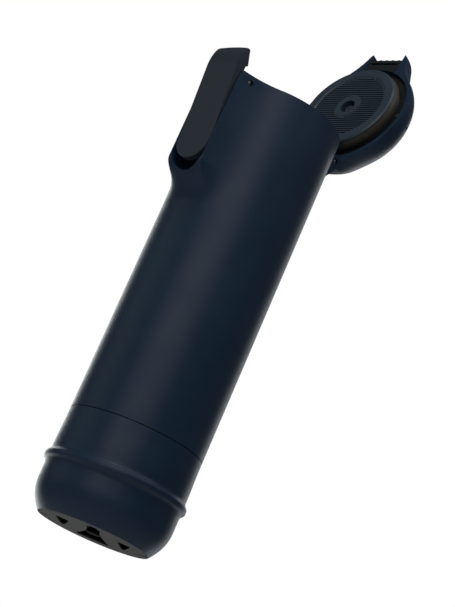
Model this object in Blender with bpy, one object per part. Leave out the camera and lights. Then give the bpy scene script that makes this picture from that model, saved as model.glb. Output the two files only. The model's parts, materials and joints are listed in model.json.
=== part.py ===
# Ball pressurizer: a bottle that holds three padel balls under pressure.
# The bottle stands on its pump handle, latch towards -Y, hinge towards +Y, lid swung open.
# World frame: +Z up, origin at the centre of the foot. Lengths are millimetres times MM.
import math

import bmesh
import bpy
from mathutils import Matrix, Vector

MM = 0.001
GAP = 0.3  # clearance between neighbouring pieces
ROUND = 48  # sides of the large turned pieces
SMALL_ROUND = 24  # sides of the middling ones
PIN_ROUND = 12  # sides of pins and screws

# Bottle
BODY_R = 42.0
SHELL_WALL = 2.4
SEAM_Z = 62.4
RIM_Z = 282.0
RIM_DECK = 2.6
LINER_BORE_R = 36.0
LINER_WALL = 2.9
MOUTH_RING_H = 4.5

# Nose on the latch side, which fills out to carry the lever
NOSE_REACH = 54.8
NOSE_HALF = 14.1
FLANK_R = 46.0  # hollow curve between the nose's corner and the round body
NOSE_START_Z = 197.5
NOSE_FULL_Z = 221.0
RIM_LEAN = 1.4  # how far the nose's front leans back at the rim
RIM_LEAN_H = 13.0

# Pump handle and foot
SEAM_GAP = 0.5
HANDLE_WALL = 2.7
FOOT_R = 34.9
FOOT_ROUND_H = 19.0
BELLY_R = 42.4
RIB_Z = 32.1
RIB_HALF_H = 3.5
RIB_PROUD = 2.3
PLATE_R = 33.6
PLATE_T = 4.0
POCKET_DEPTH = 3.0
FLOOR_T = 2.5
PUMP_TRAVEL = 39.0

# Pump
BULKHEAD_T = 2.9
SPIGOT_H = 6.2
BARREL_BORE_R = 14.0
BARREL_WALL = 2.2
BARREL_LOW_Z = 9.6
ROD_R = 4.0
SLEEVE_WALL = 2.1
SLEEVE_LOW_Z = 14.0
SLEEVE_LIP_H = 3.0
STOP_RING_H = 3.2

# Hinge
HINGE_Y = 45.9
HINGE_Z = 278.6
PIN_R = 1.5
KNUCKLE_R = 4.4
KNUCKLE_ROOM = 0.5
KNUCKLE_HALF = 9.4
LUG_OUT_X = 17.0
OPEN_ANGLE = 102.0

# Lid
LID_WALL = 2.6
DOME_H = 30.0
LID_SKIRT = 1.2
LID_BORE_R = 39.1
EAR_H = 24.0  # height above the rim at which the ears have run back into the dome
REAR_GROWTH = 0.45
SLOT_BACK_Y = -43.2
PLUG_DEPTH = 6.45
PLUG_LIP_R = 33.5
GASKET_R = 34.2
GASKET_ROOM = 0.4
PLUG_RIB_PITCH = 1.7
PLUG_GROOVE_HALF = 0.4
PLUG_RIB_ZONE_R = 26.6
PLUG_RIB_DEPTH = 0.8

# Latch
LATCH_Y = -46.4
LATCH_Z = 277.3
LATCH_PIN_HALF = 16.3
LEVER_HALF = 12.9
LEVER_LOW_Z = 220.2
LEVER_TOP_Z = 297.5
LEVER_T = 3.8
LEVER_FLARE = 3.8
FLARE_LOW_Z = 240.0
BROW_Z = 283.0
LEVER_GAP = 0.5
HOOK_Y = -50.5
HOOK_Z = 286.4
HOOK_UNDERCUT = 1.5
TONGUE_Y = -48.4
TONGUE_HALF = 8.0
HOOK_BITE = 1.0
BOSS_R = 3.0
SPRING_HALF = 3.4
SPRING_WIRE_R = 0.35
SPRING_COIL_R = 2.45
SPRING_TURNS = 4.25
POCKET_LOW_Z = 213.3
POCKET_FLOOR_Y = -42.6
CATCH_TEETH = 5
CATCH_PITCH = 5.1

LINER_R = LINER_BORE_R + LINER_WALL
SHELL_IN_R = BODY_R - SHELL_WALL
LID_Z = RIM_Z + 0.4
SLOT_HALF = LEVER_HALF + LEVER_GAP
FLANK_FAR = BODY_R + FLANK_R  # from the bottle's axis to the flank curve's centre
FOOT_TURN = math.radians(44.5)  # the foot's pattern faces between the latch and the side

COLOURS = {
    "navy_shell": ((0.012, 0.018, 0.033), 0.48, 0.0),
    "charcoal_lever": ((0.020, 0.025, 0.029), 0.5, 0.0),
    "dark_plastic": ((0.014, 0.017, 0.020), 0.45, 0.0),
    "foot_plastic": ((0.06, 0.06, 0.055), 0.35, 0.0),
    "seal_rubber": ((0.035, 0.030, 0.020), 0.7, 0.0),
    "white_plastic": ((0.6, 0.6, 0.58), 0.4, 0.0),
    "steel": ((0.6, 0.6, 0.6), 0.25, 1.0),
}


def clear_scene():
    for obj in list(bpy.data.objects):
        bpy.data.objects.remove(obj, do_unlink=True)


def material(slot):
    mat = bpy.data.materials.get(slot) or bpy.data.materials.new(slot)
    colour, rough, metal = COLOURS[slot]
    mat.use_nodes = True
    shader = mat.node_tree.nodes["Principled BSDF"]
    shader.inputs["Base Color"].default_value = (*colour, 1.0)
    shader.inputs["Roughness"].default_value = rough
    shader.inputs["Metallic"].default_value = metal
    return mat


def empty(name, place):
    obj = bpy.data.objects.new(name, None)
    obj.empty_display_size = 0.01
    obj.location = [c * MM for c in place]
    bpy.context.scene.collection.objects.link(obj)
    return obj


def finish(bm, name, slot=None, parent=None, origin=(0, 0, 0)):
    """Turn millimetre mesh data, drawn in the closed bottle's frame, into a named object."""
    bmesh.ops.translate(bm, verts=bm.verts, vec=-Vector(origin))
    bmesh.ops.scale(bm, verts=bm.verts, vec=(MM, MM, MM))
    bmesh.ops.recalc_face_normals(bm, faces=bm.faces)
    mesh = bpy.data.meshes.new(name)
    bm.to_mesh(mesh)
    bm.free()
    obj = bpy.data.objects.new(name, mesh)
    bpy.context.scene.collection.objects.link(obj)
    if parent is not None:
        obj.parent = parent
    if slot is None:
        obj.hide_render = True
        obj.display_type = "WIRE"
    else:
        mesh.materials.append(material(slot))
        mesh.shade_smooth()
        mesh.set_sharp_from_angle(angle=math.radians(35))
    return obj


def lathe(profile, steps=ROUND, centre=(0.0, 0.0)):
    """Spin a closed outline of (radius, height) points round a vertical line."""
    bm = bmesh.new()
    verts = [bm.verts.new((r, 0.0, z)) for r, z in profile]
    edges = [bm.edges.new((a, b)) for a, b in zip(verts, verts[1:] + verts[:1])
             if a.co.x > 1e-6 or b.co.x > 1e-6]
    bmesh.ops.spin(bm, geom=verts + edges, cent=(0, 0, 0), axis=(0, 0, 1),
                   angle=math.tau, steps=steps, use_merge=True)
    bmesh.ops.remove_doubles(bm, verts=bm.verts, dist=1e-4)
    bmesh.ops.translate(bm, verts=bm.verts, vec=(*centre, 0.0))
    return bm


def loft(rings):
    """Skin a stack of rings of equal count; a one-point ring closes an end to a tip."""
    bm = bmesh.new()
    rows = [[bm.verts.new(p) for p in ring] for ring in rings]
    for low, high in zip(rows, rows[1:]):
        count = max(len(low), len(high))
        for k in range(count):
            n = (k + 1) % count
            if len(high) == 1:
                bm.faces.new((low[k], low[n], high[0]))
            else:
                bm.faces.new((low[k], low[n], high[n], high[k]))
    bm.faces.new(rows[0])
    if len(rows[-1]) > 1:
        bm.faces.new(rows[-1])
    return bm


def prism(outline, axis, low, high):
    """Extrude a flat outline along X, Y or Z; its points give the other two axes in order."""
    def place(p, t):
        return {"x": (t, p[0], p[1]), "y": (p[0], t, p[1]), "z": (p[0], p[1], t)}[axis]
    return loft([[place(p, low) for p in outline], [place(p, high) for p in outline]])


def box(low, high):
    corners = [(low[0], low[1]), (high[0], low[1]), (high[0], high[1]), (low[0], high[1])]
    return prism(corners, "z", low[2], high[2])


def rod(axis, radius, centre, low, high, steps=PIN_ROUND):
    ring = [(centre[0] + radius * math.cos(math.tau * k / steps),
             centre[1] + radius * math.sin(math.tau * k / steps)) for k in range(steps)]
    return prism(ring, axis, low, high)


def tube(path, radius, sides=6):
    """Sweep a round section along a path without twist, with flat ends."""
    points = [Vector(p) for p in path]
    side = Vector((1.0, 0.0, 0.0))
    rings = []
    for k, point in enumerate(points):
        ahead = (points[min(k + 1, len(points) - 1)] - points[max(k - 1, 0)]).normalized()
        side = (side - ahead * side.dot(ahead)).normalized()
        over = ahead.cross(side)
        turns = [math.tau * n / sides for n in range(sides)]
        rings.append([point + radius * (side * math.cos(a) + over * math.sin(a)) for a in turns])
    return loft(rings)


def join(*parts):
    """Put several separate closed meshes into one, for use as one cutter."""
    whole = bmesh.new()
    for bm in parts:
        mesh = bpy.data.meshes.new("part_of_cutter")
        bm.to_mesh(mesh)
        bm.free()
        whole.from_mesh(mesh)
        bpy.data.meshes.remove(mesh)
    return whole


def combine(obj, other, operation):
    mod = obj.modifiers.new(other.name, "BOOLEAN")
    mod.operation = operation
    mod.solver = "EXACT"
    mod.object = other


def smooth_step(t):
    t = min(1.0, max(0.0, t))
    return t * t * (3.0 - 2.0 * t)


def flank_end():
    """Angle from the nose at which the hollow flank runs into the round body."""
    corner = math.hypot(NOSE_HALF, NOSE_REACH)
    cosine = (FLANK_FAR ** 2 + corner ** 2 - FLANK_R ** 2) / (2.0 * FLANK_FAR * corner)
    return math.atan2(NOSE_HALF, NOSE_REACH) + math.acos(cosine)


def nose_radius(angle, inset, reach):
    """Plan radius at an angle from the nose: flat front, hollow flank, then the round body."""
    end = flank_end()
    flank = FLANK_R + inset
    front = reach - inset
    if angle >= end:
        return BODY_R - inset
    along = FLANK_FAR * math.cos(end - angle)
    on_flank = along - math.sqrt(max(0.0, along ** 2 - FLANK_FAR ** 2 + flank ** 2))
    return min(on_flank, front / math.cos(angle))


def plan_angles():
    """Angles from the nose: close together on its front and flanks, even elsewhere."""
    corner = math.atan2(NOSE_HALF, NOSE_REACH)
    end = flank_end()
    half = [corner * k / 2 for k in range(2)]
    half += [corner + (end - corner) * k / 5 for k in range(5)]
    half += [end + (math.pi / 2 - end) * k / 5 for k in range(5)]
    quarter = half + [math.pi / 2]
    right = quarter + [math.pi - a for a in reversed(quarter[:-1])]
    return right + [-a for a in reversed(right[1:-1])]


def plan_ring(z, inset, front, rear, scale=1.0, reach=NOSE_REACH):
    """One level of the outline; front and rear say how far each nose has grown, 0 to 1."""
    ring = []
    for angle in plan_angles():
        ahead = abs(angle) < math.pi / 2
        toward = abs(angle) if ahead else math.pi - abs(angle)
        grown = front if ahead else rear
        plain = BODY_R - inset
        r = (plain + (nose_radius(toward, inset, reach) - plain) * grown) * scale
        ring.append((r * math.sin(angle), -r * math.cos(angle), z))
    return ring


def bottle_solid(inset, low, high):
    """The bottle's outside, or at an inset its hollow, with the nose growing out."""
    blend = [NOSE_START_Z + (NOSE_FULL_Z - NOSE_START_Z) * k / 6 for k in range(7)]
    lean_low = RIM_Z - RIM_LEAN_H
    rings = []
    for z in [low] + blend + [lean_low, RIM_Z - RIM_LEAN_H * 0.45, high]:
        grown = smooth_step((z - NOSE_START_Z) / (NOSE_FULL_Z - NOSE_START_Z))
        lean = RIM_LEAN * (max(0.0, z - lean_low) / RIM_LEAN_H) ** 2
        rings.append(plan_ring(z, inset, grown, 0.0, 1.0, NOSE_REACH - lean))
    return loft(rings)


def dome_solid(low, steps=8):
    """The lid's outside: a short skirt under an elliptic dome, with upright ears that round off into it."""
    reach = NOSE_REACH - RIM_LEAN
    corner_r = math.hypot(NOSE_HALF, reach)
    rings = [plan_ring(low, 0.0, 1.0, REAR_GROWTH, 1.0, reach)]
    for k in range(steps):
        turn = math.pi / 2 * k / steps
        height = LID_SKIRT + (DOME_H - LID_SKIRT) * math.sin(turn)
        ear_r = corner_r * math.sqrt(1.0 - min(1.0, height / EAR_H) ** 4)
        ears = max(0.0, (ear_r / math.cos(turn) - BODY_R) / (corner_r - BODY_R))
        rear = REAR_GROWTH * math.cos(turn) ** 2
        rings.append(plan_ring(LID_Z + height, 0.0, ears, rear, math.cos(turn), reach))
    rings.append([(0.0, 0.0, LID_Z + DOME_H)])
    return loft(rings)


def dome_hollow(steps=8):
    """The lid's round hollow, which leaves the ears and the hinge side solid."""
    profile = [(0.0, LID_Z - 6.0), (LID_BORE_R, LID_Z - 6.0)]
    for k in range(steps + 1):
        turn = math.pi / 2 * k / steps
        height = (DOME_H - LID_SKIRT - LID_WALL) * math.sin(turn)
        profile.append((LID_BORE_R * math.cos(turn), LID_Z + LID_SKIRT + height))
    bm = lathe(profile)
    half_step = Matrix.Rotation(math.pi / ROUND, 3, "Z")  # keeps its edges off the posts' corners
    bmesh.ops.rotate(bm, verts=bm.verts, matrix=half_step)
    return bm


def arch_outline(half, low, high, steps=14):
    """An upright slot in X and Z with a half-round lower end."""
    arc = [(-half * math.cos(math.pi * k / steps), low + half - half * math.sin(math.pi * k / steps))
           for k in range(steps + 1)]
    return arc + [(half, high), (-half, high)]


def lug_outline(radius, steps=10):
    """A hinge lug from the side: round over the pin, sloping back to the bottle below."""
    first, last = math.radians(130), math.radians(-42)
    arc = [(HINGE_Y + radius * math.cos(first + (last - first) * k / steps),
            HINGE_Z + radius * math.sin(first + (last - first) * k / steps)) for k in range(steps + 1)]
    inner = BODY_R - 8.0
    return [(inner, RIM_Z - 0.5)] + arc + [(BODY_R - 0.6, HINGE_Z - 14.5), (inner, HINGE_Z - 14.5)]


def knuckle_room_outline(steps=10):
    """The room that a hinge knuckle turns in, from the side: half round below, open above."""
    radius = KNUCKLE_R + KNUCKLE_ROOM
    turns = [math.pi * k / steps for k in range(steps + 1)]
    arc = [(HINGE_Y - radius * math.cos(a), HINGE_Z - radius * math.sin(a)) for a in turns]
    return arc + [(HINGE_Y + radius, RIM_Z + 5.0), (HINGE_Y - radius, RIM_Z + 5.0)]


def make_body_shell():
    shell = finish(bottle_solid(0.0, SEAM_Z, RIM_Z), "body_shell", "navy_shell")
    inner_x = KNUCKLE_HALF + GAP
    lugs = finish(join(prism(lug_outline(KNUCKLE_R), "x", inner_x, LUG_OUT_X),
                       prism(lug_outline(KNUCKLE_R), "x", -LUG_OUT_X, -inner_x)), "add_hinge_lugs")
    combine(shell, lugs, "UNION")
    hollow = finish(bottle_solid(SHELL_WALL, SEAM_Z - 5.0, RIM_Z - RIM_DECK), "cut_shell_hollow")
    wall = SHELL_WALL - 0.2
    walls = finish(prism(arch_outline(SLOT_HALF + wall, POCKET_LOW_Z - wall, RIM_Z + 20.0), "y",
                         -NOSE_REACH - 10.0, POCKET_FLOOR_Y + wall + 0.7), "keep_pocket_walls")
    combine(hollow, walls, "DIFFERENCE")
    combine(shell, hollow, "DIFFERENCE")
    pocket = finish(prism(arch_outline(SLOT_HALF, POCKET_LOW_Z, RIM_Z + 5.0), "y",
                          -NOSE_REACH - 10.0, POCKET_FLOOR_Y), "cut_lever_pocket")
    combine(shell, pocket, "DIFFERENCE")
    mouth = finish(lathe([(0, RIM_Z - 10), (LINER_R + GAP, RIM_Z - 10), (LINER_R + GAP, RIM_Z + 5),
                          (0, RIM_Z + 5)]), "cut_mouth")
    combine(shell, mouth, "DIFFERENCE")
    room = inner_x + 0.1
    combine(shell, finish(prism(knuckle_room_outline(), "x", -room, room), "cut_knuckle_room"), "DIFFERENCE")
    bores = finish(join(rod("x", PIN_R + GAP, (LATCH_Y, LATCH_Z), -40, 40),
                        rod("x", PIN_R + GAP, (HINGE_Y, HINGE_Z), -40, 40)), "cut_pin_bores")
    combine(shell, bores, "DIFFERENCE")
    return shell


def make_liner_and_mouth():
    low = SEAM_Z + BULKHEAD_T + GAP
    high = RIM_Z - MOUTH_RING_H - GAP
    finish(lathe([(LINER_BORE_R, low), (LINER_R, low), (LINER_R, high), (LINER_BORE_R, high)]),
           "pressure_liner", "dark_plastic")
    foot = high + GAP
    seal_r = LINER_BORE_R + 0.5 * LINER_WALL
    groove = 1.1
    bore = GASKET_R + GASKET_ROOM
    finish(lathe([(bore, foot), (seal_r - groove, foot), (seal_r - groove, foot + 1.6),
                  (seal_r + groove, foot + 1.6), (seal_r + groove, foot), (LINER_R, foot),
                  (LINER_R, RIM_Z), (bore + 0.8, RIM_Z), (bore, RIM_Z - 0.8)]),
           "mouth_ring", "dark_plastic")
    o_ring("mouth_o_ring", seal_r, foot + 0.75, 0.72)


def o_ring(name, radius, z, thick, parent=None, steps=40, sides=6):
    profile = [(radius + thick * math.cos(math.tau * k / sides),
                z + thick * math.sin(math.tau * k / sides)) for k in range(sides)]
    return finish(lathe(profile, steps), name, "seal_rubber", parent)


def make_bulkhead():
    low = SEAM_Z
    flange = low + BULKHEAD_T
    top = flange + SPIGOT_H
    spigot = LINER_BORE_R - GAP
    groove_low, groove_high, groove_r = flange + 1.6, flange + 4.0, spigot - 2.0
    socket = BARREL_BORE_R + BARREL_WALL + GAP
    recess_z = top - 2.6
    bulkhead = finish(lathe([
        (2.0, low + 1.6), (socket, low + 1.6), (socket, low), (SHELL_IN_R - GAP, low),
        (SHELL_IN_R - GAP, flange), (spigot, flange), (spigot, groove_low), (groove_r, groove_low),
        (groove_r, groove_high), (spigot, groove_high), (spigot, top), (11.0, top),
        (11.0, recess_z), (2.0, recess_z)]), "bulkhead", "dark_plastic")
    ports = [rod("z", 0.9, (4.6 * math.cos(math.tau * k / 6), 4.6 * math.sin(math.tau * k / 6)),
                 low - 5, top + 5, 10) for k in range(6)]
    screws = [rod("z", 1.3, place, low - 5, low + 6.5, 12) for place in sleeve_screw_places()]
    combine(bulkhead, finish(join(*ports, *screws), "cut_bulkhead_holes"), "DIFFERENCE")
    o_ring("bulkhead_o_ring", groove_r + 1.15, (groove_low + groove_high) / 2, 0.85)
    finish(lathe([(0, low + 1.2), (1.6, low + 1.2), (1.6, recess_z + GAP), (6.6, recess_z + GAP),
                  (6.2, recess_z + 0.9), (2.4, recess_z + 1.7), (0, recess_z + 1.8)], SMALL_ROUND),
           "check_valve_flap", "seal_rubber")
    guard = finish(lathe([(7.2, recess_z + GAP), (10.6, recess_z + GAP), (10.6, top), (0, top),
                          (0, top - 0.5), (7.2, top - 0.5)], SMALL_ROUND), "valve_guard", "dark_plastic")
    vents = [rod("z", 1.0, (4.2 * math.cos(math.tau * k / 5), 4.2 * math.sin(math.tau * k / 5)),
                 top - 2, top + 2, 10) for k in range(5)]
    combine(guard, finish(join(*vents), "cut_guard_vents"), "DIFFERENCE")


def sleeve_screw_places():
    reach = 31.0
    turns = [math.radians(a) for a in (45, 135, 225, 315)]
    return [(reach * math.cos(a), reach * math.sin(a)) for a in turns]


def screw(name, place, head_r, head_low, head_high, shank_r, tip, parent=None, origin=(0, 0, 0)):
    """A cheese-head screw standing on its head, with a hexagon socket in the head."""
    near, far = head_low, head_high
    middle = (near + far) / 2
    body = finish(lathe([(0, near), (head_r, near), (head_r, far), (shank_r, far), (shank_r, tip), (0, tip)],
                        PIN_ROUND, place), name, "steel", parent, origin)
    key = rod("z", head_r * 0.5, place, near - 1.0, middle, 6)
    combine(body, finish(key, "cut_" + name + "_key", None, parent, origin), "DIFFERENCE")
    return body


def make_pump_body():
    """What the bottle carries of the pump: barrel, its end cap and the sleeve that guides the handle."""
    top = SEAM_Z + 1.6 - GAP
    outer = BARREL_BORE_R + BARREL_WALL
    cap_high = BARREL_LOW_Z + 3.6
    finish(lathe([(BARREL_BORE_R, cap_high + GAP), (outer, cap_high + GAP), (outer, top),
                  (BARREL_BORE_R, top)], 48), "pump_barrel", "white_plastic")
    finish(lathe([(ROD_R + GAP, BARREL_LOW_Z), (outer, BARREL_LOW_Z), (outer, cap_high),
                  (ROD_R + GAP, cap_high)], 48), "barrel_end_cap", "dark_plastic")
    slide_r = BODY_R - HANDLE_WALL - GAP
    sleeve_r = slide_r - 1.6
    bore = sleeve_r - SLEEVE_WALL
    high = SEAM_Z - GAP
    web = 3.0
    sleeve = finish(lathe([
        (bore, SLEEVE_LOW_Z), (slide_r, SLEEVE_LOW_Z), (slide_r, SLEEVE_LOW_Z + SLEEVE_LIP_H),
        (sleeve_r, SLEEVE_LOW_Z + SLEEVE_LIP_H), (sleeve_r, high), (bore - 7.5, high),
        (bore - 7.5, high - web), (bore, high - web)]), "guide_sleeve", "dark_plastic")
    holes = [rod("z", 1.5, place, high - 10, high + 5, 12) for place in sleeve_screw_places()]
    combine(sleeve, finish(join(*holes), "cut_sleeve_holes"), "DIFFERENCE")
    for number, place in enumerate(sleeve_screw_places(), 1):
        head_high = high - web - GAP
        screw(f"sleeve_screw_{number}", place, 2.6, head_high - 2.0, head_high, 1.0, SEAM_Z + 6.0)


def handle_profile():
    """Outside of the handle from the foot's edge up to the seam, as (radius, height) points."""
    points = []
    for k in range(7):
        z = FOOT_ROUND_H * (k / 6) ** 1.2
        points.append((BELLY_R - (BELLY_R - FOOT_R) * (1 - z / FOOT_ROUND_H) ** 2.15, z))
    for k in range(7):
        z = RIB_Z - RIB_HALF_H * math.cos(math.pi * k / 6)
        points.append((BELLY_R + RIB_PROUD * math.sin(math.pi * k / 6), z))
    return points + [(BELLY_R, RIB_Z + 8.0), (BODY_R, SEAM_Z - 3.0), (BODY_R, SEAM_Z - SEAM_GAP)]


def make_handle(pump):
    inner = BODY_R - HANDLE_WALL
    top = SEAM_Z - SEAM_GAP
    ring_low = SLEEVE_LOW_Z + SLEEVE_LIP_H + PUMP_TRAVEL + 0.5
    ring_high = ring_low + STOP_RING_H
    floor_low = PLATE_T + GAP
    floor_high = floor_low + FLOOR_T
    hub_hole = 8.0 + GAP
    handle = finish(lathe(handle_profile() + [
        (inner, top), (inner, ring_high + GAP), (inner + 1.0, ring_high + GAP),
        (inner + 1.0, ring_low - GAP), (inner, ring_low - GAP), (inner, SLEEVE_LOW_Z - 1.5),
        (inner - 1.2, SLEEVE_LOW_Z - 4.5), (inner - 3.2, floor_high), (hub_hole, floor_high),
        (hub_hole, floor_low), (PLATE_R + GAP, floor_low), (PLATE_R + GAP, 0.0)]),
        "handle_shell", "navy_shell", pump)
    tab = box((-2.0, -PLATE_R - 0.8, 0.4), (2.0, -24.3, floor_low + 0.5))
    bmesh.ops.rotate(tab, verts=tab.verts, matrix=Matrix.Rotation(FOOT_TURN, 3, "Z"))
    bosses = [rod("z", 2.3, place, floor_low + 1.0, 12.0) for place in foot_screw_places()]
    combine(handle, finish(join(tab, *bosses), "add_handle_bosses", None, pump), "UNION")
    holes = [rod("z", 1.25, place, floor_low - 2.0, 15.0, 12) for place in foot_screw_places()]
    combine(handle, finish(join(*holes), "cut_handle_holes", None, pump), "DIFFERENCE")
    finish(lathe([(inner - 1.6, ring_low), (inner + 0.7, ring_low), (inner + 0.7, ring_high),
                  (inner - 1.6, ring_high)]), "handle_stop_ring", "white_plastic", pump)


def foot_screw_places():
    turned = Matrix.Rotation(FOOT_TURN, 2)
    return [tuple(turned @ Vector((side * 19.2, -3.0))) for side in (-1, 1)]


def trumpet_outline(steps=6):
    """The foot's middle pocket: a straight neck that flares like a trumpet to a flat far end."""
    neck, mouth, flare_low, flare_high = 4.1, 9.9, -9.5, 18.5
    right = [(neck, -23.5)]
    for k in range(steps + 1):
        t = k / steps
        right.append((neck + (mouth - neck) * t ** 1.5, flare_low + (flare_high - flare_low) * t))
    right += [(mouth + 0.3, 21.8), (mouth - 0.6, 23.4), (mouth - 2.0, 23.9)]
    return right + [(-x, y) for x, y in reversed(right)]


def leaf_outline(side, steps=8):
    """A finger pocket of the foot: flat towards the front, drawn to a point behind."""
    low, high, half = -11.5, 12.2, 4.1
    right = [(half - 1.1, low)]
    for k in range(1, steps):
        t = k / steps
        right.append((half * (1.0 - t) ** 0.6, low + (high - low) * t))
    right[1] = (half, low + 1.4)
    outline = right + [(0.0, high)] + [(-x, y) for x, y in reversed(right)]
    return [(side * 19.2 + x, y) for x, y in outline]


def make_foot(pump):
    hub_r = 8.0
    hub_high = BARREL_LOW_Z - 0.6
    head_room = 5.5
    web = 0.9
    cap_r = 4.4
    screw_r = 3.1
    plate = finish(lathe([(PIN_R + GAP, 2.6), (3.5, 2.6), (3.5, 0), (PLATE_R - 0.4, 0), (PLATE_R, 0.4),
                          (PLATE_R, PLATE_T), (hub_r, PLATE_T), (hub_r, hub_high),
                          (ROD_R + GAP, hub_high), (ROD_R + GAP, head_room + web),
                          (PIN_R + GAP, head_room + web), (PIN_R + GAP, head_room - 1.0)]),
                   "foot_plate", "foot_plastic", pump)
    pockets = [prism(trumpet_outline(), "z", -2.0, POCKET_DEPTH)]
    pockets += [prism(leaf_outline(side), "z", -2.0, POCKET_DEPTH) for side in (-1, 1)]
    for middle in (-30.3, 30.3):
        pockets.append(box((middle - 2.1, 0.8, -2.0), (middle + 2.1, 2.6, POCKET_DEPTH - 0.5)))
    pockets.append(box((-0.9, 29.4, -2.0), (0.9, 32.2, POCKET_DEPTH - 1.0)))
    notch = box((-2.3, -PLATE_R - 3.0, -2.5), (2.3, -23.0, PLATE_T + 2.0))
    turn = Matrix.Rotation(FOOT_TURN, 3, "Z")
    for name, cutter in (("cut_foot_pattern", join(*pockets)), ("cut_foot_notch", notch)):
        bmesh.ops.rotate(cutter, verts=cutter.verts, matrix=turn)
        combine(plate, finish(cutter, name, None, pump), "DIFFERENCE")
    holes = [rod("z", 1.5, place, -1.0, PLATE_T + 2.0, 12) for place in foot_screw_places()]
    well = rod("z", cap_r + GAP, (0, 0), -1.0, head_room, SMALL_ROUND)
    combine(plate, finish(join(*holes, well), "cut_foot_holes", None, pump), "DIFFERENCE")
    for number, place in enumerate(foot_screw_places(), 1):
        head_high = POCKET_DEPTH - GAP
        screw(f"foot_screw_{number}", place, 2.4, head_high - 1.3, head_high, 0.9, 11.0, parent=pump)
    head_low = head_room - GAP - 1.8
    screw("rod_screw", (0, 0), screw_r, head_low, head_room - GAP, 1.3, 16.0, parent=pump)
    finish(lathe([(0, 0), (cap_r, 0), (cap_r, head_room - GAP), (screw_r + GAP, head_room - GAP),
                  (screw_r + GAP, head_low - GAP), (0, head_low - GAP)], SMALL_ROUND),
           "rod_cap", "dark_plastic", pump)


def make_plunger(pump):
    low = 6.7
    piston_high = SEAM_Z + 1.6 - 1.6
    piston_low = piston_high - 6.4
    rod_high = piston_high - 1.6
    finish(lathe([(0, low + 10.6), (1.6, low + 10.6), (1.6, low), (ROD_R, low), (ROD_R, piston_low - GAP),
                  (2.6, piston_low - GAP), (2.6, rod_high), (0, rod_high)], 24), "pump_rod", "steel", pump)
    piston_r = BARREL_BORE_R - GAP
    groove_r = piston_r - 2.0
    middle = (piston_low + piston_high) / 2
    finish(lathe([(0, rod_high + GAP), (2.9, rod_high + GAP), (2.9, piston_low), (piston_r, piston_low),
                  (piston_r, middle - 1.2), (groove_r, middle - 1.2), (groove_r, middle + 1.2),
                  (piston_r, middle + 1.2), (piston_r, piston_high), (0, piston_high)], 40),
           "piston", "white_plastic", pump)
    o_ring("piston_o_ring", groove_r + 1.2, middle, 0.9, pump, 32)


def make_hinge_and_latch_pins():
    finish(rod("x", PIN_R, (HINGE_Y, HINGE_Z), -LUG_OUT_X + 0.4, LUG_OUT_X - 0.4), "hinge_pin", "steel")
    finish(rod("x", PIN_R, (LATCH_Y, LATCH_Z), -LATCH_PIN_HALF, LATCH_PIN_HALF), "latch_pin", "steel")


def lever_outline():
    """The lever from the side: flared face and round brow outside, hook and plain back inside."""
    face = -NOSE_REACH
    brow = face - LEVER_FLARE
    lean = 4.0
    outer = [(face, LEVER_LOW_Z - 1.0), (face, FLARE_LOW_Z), (brow, BROW_Z)]
    for k in range(1, 8):
        outer.append((brow + lean * (k / 7) ** 2.4, BROW_Z + (LEVER_TOP_Z - BROW_Z) * k / 7))
    back = face + LEVER_T
    undercut = HOOK_Y - HOOK_UNDERCUT
    inner = [(HOOK_Y, HOOK_Z + 0.6), (HOOK_Y - 0.1, HOOK_Z),
             (undercut, HOOK_Z), (undercut, HOOK_Z - 5.0), (back - 0.8, FLARE_LOW_Z + 22.0),
             (back, FLARE_LOW_Z), (back, LEVER_LOW_Z - 1.0)]
    return outer + inner


def lever_front_outline(half):
    """The lever from the front: half round below, small round corners and a low arch above."""
    low = LEVER_LOW_Z + (LEVER_HALF - half)
    outline = arch_outline(half, low, LEVER_TOP_Z)[:-2]
    right = [(half, LEVER_TOP_Z - 2.2), (half - 0.7, LEVER_TOP_Z - 1.2), (half * 0.75, LEVER_TOP_Z - 0.65),
             (half * 0.5, LEVER_TOP_Z - 0.3), (half * 0.2, LEVER_TOP_Z - 0.05)]
    return outline + right + [(-x, z) for x, z in reversed(right)]


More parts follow.
